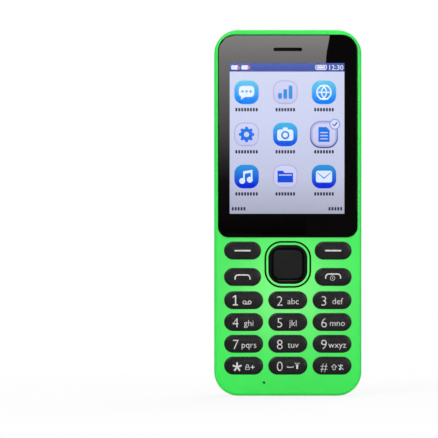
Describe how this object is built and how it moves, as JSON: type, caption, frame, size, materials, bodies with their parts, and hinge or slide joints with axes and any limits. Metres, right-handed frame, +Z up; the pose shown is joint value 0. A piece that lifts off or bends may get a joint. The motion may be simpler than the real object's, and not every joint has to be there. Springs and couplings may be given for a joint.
{
  "type": "feature phone",
  "caption": "Upright green feature phone with a small colour display, a black keypad under it and a removable rear cover.",
  "frame": {"origin": "centre of the phone's foot: middle of its width and depth, at its lowest face", "axes": "+Z up along the phone's height, screen and keys facing -Y, +X to the right as seen from the front"},
  "size_m": [0.0474, 0.0134, 0.118],
  "materials": {
    "housing_green": "moulded polycarbonate, satin gloss",
    "cover_green": "moulded polycarbonate, fine satin",
    "chassis_green": "moulded, darker in the shade of the cover",
    "window_black": "printed black behind clear acrylic",
    "key_black": "satin black caps with pale legends",
    "silicone_grey": "moulded silicone",
    "rubber_black": "moulded rubber",
    "foam_black": "cell foam",
    "tape_black": "adhesive tape",
    "mesh_black": "woven dust mesh",
    "display_glass": "lit display",
    "tray_white": "moulded tray",
    "flex_amber": "polyimide film",
    "film_clear": "polyester film",
    "dome_steel": "sprung steel",
    "board_green": "solder mask on glass laminate",
    "can_steel": "tinned pressed sheet",
    "chip_black": "moulded resin",
    "light_white": "lens over a light",
    "port_steel": "nickel-plated shell",
    "jack_black": "moulded",
    "motor_steel": "pressed can",
    "mic_steel": "pressed can",
    "speaker_frame": "moulded frame with a thin diaphragm",
    "lens_clear": "polished clear",
    "screw_steel": "blackened steel",
    "contact_gold": "gold-plated",
    "connector_black": "moulded",
    "battery_case": "wrapped in a printed sleeve"
  },
  "bodies": {
    "housing": {"front_housing": "housing_green", "rear_chassis": "chassis_green", "display_window": "window_black", "keypad_mat": "silicone_grey", "microphone_boot": "rubber_black", "display_foam": "foam_black", "speaker_gasket": "foam_black", "window_tape": "tape_black", "earpiece_mesh": "mesh_black", "display_panel": "display_glass", "display_backlight": "tray_white", "display_flex": "flex_amber", "dome_sheet": "film_clear", "key_domes": "dome_steel", "circuit_board": "board_green", "processor_can": "can_steel", "radio_can": "can_steel", "sim_socket_1": "can_steel", "sim_socket_2": "can_steel", "memory_card_socket": "can_steel", "board_chips": "chip_black", "keypad_lights": "light_white", "torch_led": "light_white", "usb_socket": "port_steel", "headphone_jack": "jack_black", "vibration_motor": "motor_steel", "microphone": "mic_steel", "loudspeaker": "speaker_frame", "earpiece_speaker": "speaker_frame", "torch_lens": "lens_clear", "housing_screws": "screw_steel", "battery_springs": "contact_gold", "antenna": "contact_gold", "battery_connector": "connector_black"},
    "nav_web": {"nav_web": "silicone_grey"},
    "nav_ring": {"nav_ring": "key_black", "nav_trim": "housing_green"},
    "ok_key": {"ok_key": "key_black"},
    "rear_cover": {"rear_cover": "cover_green", "speaker_mesh": "mesh_black"},
    "battery": {"battery": "battery_case"},
    "key_1": {"key_1": "key_black"},
    "key_2": {"key_2": "key_black"},
    "key_3": {"key_3": "key_black"},
    "key_4": {"key_4": "key_black"},
    "key_5": {"key_5": "key_black"},
    "key_6": {"key_6": "key_black"},
    "key_7": {"key_7": "key_black"},
    "key_8": {"key_8": "key_black"},
    "key_9": {"key_9": "key_black"},
    "key_star": {"key_star": "key_black"},
    "key_0": {"key_0": "key_black"},
    "key_hash": {"key_hash": "key_black"},
    "soft_key_left": {"soft_key_left": "key_black"},
    "soft_key_right": {"soft_key_right": "key_black"},
    "call_key": {"call_key": "key_black"},
    "end_key": {"end_key": "key_black"}
  },
  "joints": [
    {"name": "key_1_press", "type": "slide", "parent": "housing", "child": "key_1", "axis": [0, 1, 0], "range_m": [0, 0.00035], "stiffness_N_per_m": 600},
    {"name": "key_2_press", "type": "slide", "parent": "housing", "child": "key_2", "axis": [0, 1, 0], "range_m": [0, 0.00035], "stiffness_N_per_m": 600},
    {"name": "key_3_press", "type": "slide", "parent": "housing", "child": "key_3", "axis": [0, 1, 0], "range_m": [0, 0.00035], "stiffness_N_per_m": 600},
    {"name": "key_4_press", "type": "slide", "parent": "housing", "child": "key_4", "axis": [0, 1, 0], "range_m": [0, 0.00035], "stiffness_N_per_m": 600},
    {"name": "key_5_press", "type": "slide", "parent": "housing", "child": "key_5", "axis": [0, 1, 0], "range_m": [0, 0.00035], "stiffness_N_per_m": 600},
    {"name": "key_6_press", "type": "slide", "parent": "housing", "child": "key_6", "axis": [0, 1, 0], "range_m": [0, 0.00035], "stiffness_N_per_m": 600},
    {"name": "key_7_press", "type": "slide", "parent": "housing", "child": "key_7", "axis": [0, 1, 0], "range_m": [0, 0.00035], "stiffness_N_per_m": 600},
    {"name": "key_8_press", "type": "slide", "parent": "housing", "child": "key_8", "axis": [0, 1, 0], "range_m": [0, 0.00035], "stiffness_N_per_m": 600},
    {"name": "key_9_press", "type": "slide", "parent": "housing", "child": "key_9", "axis": [0, 1, 0], "range_m": [0, 0.00035], "stiffness_N_per_m": 600},
    {"name": "key_star_press", "type": "slide", "parent": "housing", "child": "key_star", "axis": [0, 1, 0], "range_m": [0, 0.00035], "stiffness_N_per_m": 600},
    {"name": "key_0_press", "type": "slide", "parent": "housing", "child": "key_0", "axis": [0, 1, 0], "range_m": [0, 0.00035], "stiffness_N_per_m": 600},
    {"name": "key_hash_press", "type": "slide", "parent": "housing", "child": "key_hash", "axis": [0, 1, 0], "range_m": [0, 0.00035], "stiffness_N_per_m": 600},
    {"name": "soft_key_left_press", "type": "slide", "parent": "housing", "child": "soft_key_left", "axis": [0, 1, 0], "range_m": [0, 0.00035], "stiffness_N_per_m": 600},
    {"name": "soft_key_right_press", "type": "slide", "parent": "housing", "child": "soft_key_right", "axis": [0, 1, 0], "range_m": [0, 0.00035], "stiffness_N_per_m": 600},
    {"name": "call_key_press", "type": "slide", "parent": "housing", "child": "call_key", "axis": [0, 1, 0], "range_m": [0, 0.00035], "stiffness_N_per_m": 600},
    {"name": "end_key_press", "type": "slide", "parent": "housing", "child": "end_key", "axis": [0, 1, 0], "range_m": [0, 0.00035], "stiffness_N_per_m": 600},
    {"name": "ok_key_press", "type": "slide", "parent": "housing", "child": "ok_key", "axis": [0, 1, 0], "range_m": [0, 0.0003], "stiffness_N_per_m": 600},
    {"name": "nav_up_down", "type": "hinge", "parent": "housing", "child": "nav_web", "pos_m": [0, -0.0045, 0.04235], "axis": [1, 0, 0], "range_deg": [-1.5, 1.5], "stiffness_Nm_per_rad": 0.05},
    {"name": "nav_left_right", "type": "hinge", "parent": "nav_web", "child": "nav_ring", "pos_m": [0, -0.0045, 0.04235], "axis": [0, 0, 1], "range_deg": [-1.5, 1.5], "stiffness_Nm_per_rad": 0.05},
    {"name": "cover_lift", "type": "slide", "parent": "housing", "child": "rear_cover", "axis": [0, 1, 0], "range_m": [0, 0.03]},
    {"name": "battery_lift", "type": "slide", "parent": "housing", "child": "battery", "axis": [0, 1, 0], "range_m": [0, 0.015]}
  ],
  "couplings": [
    {"joint": "battery_lift", "follows": "cover_lift", "ratio": 0.5}
  ]
}
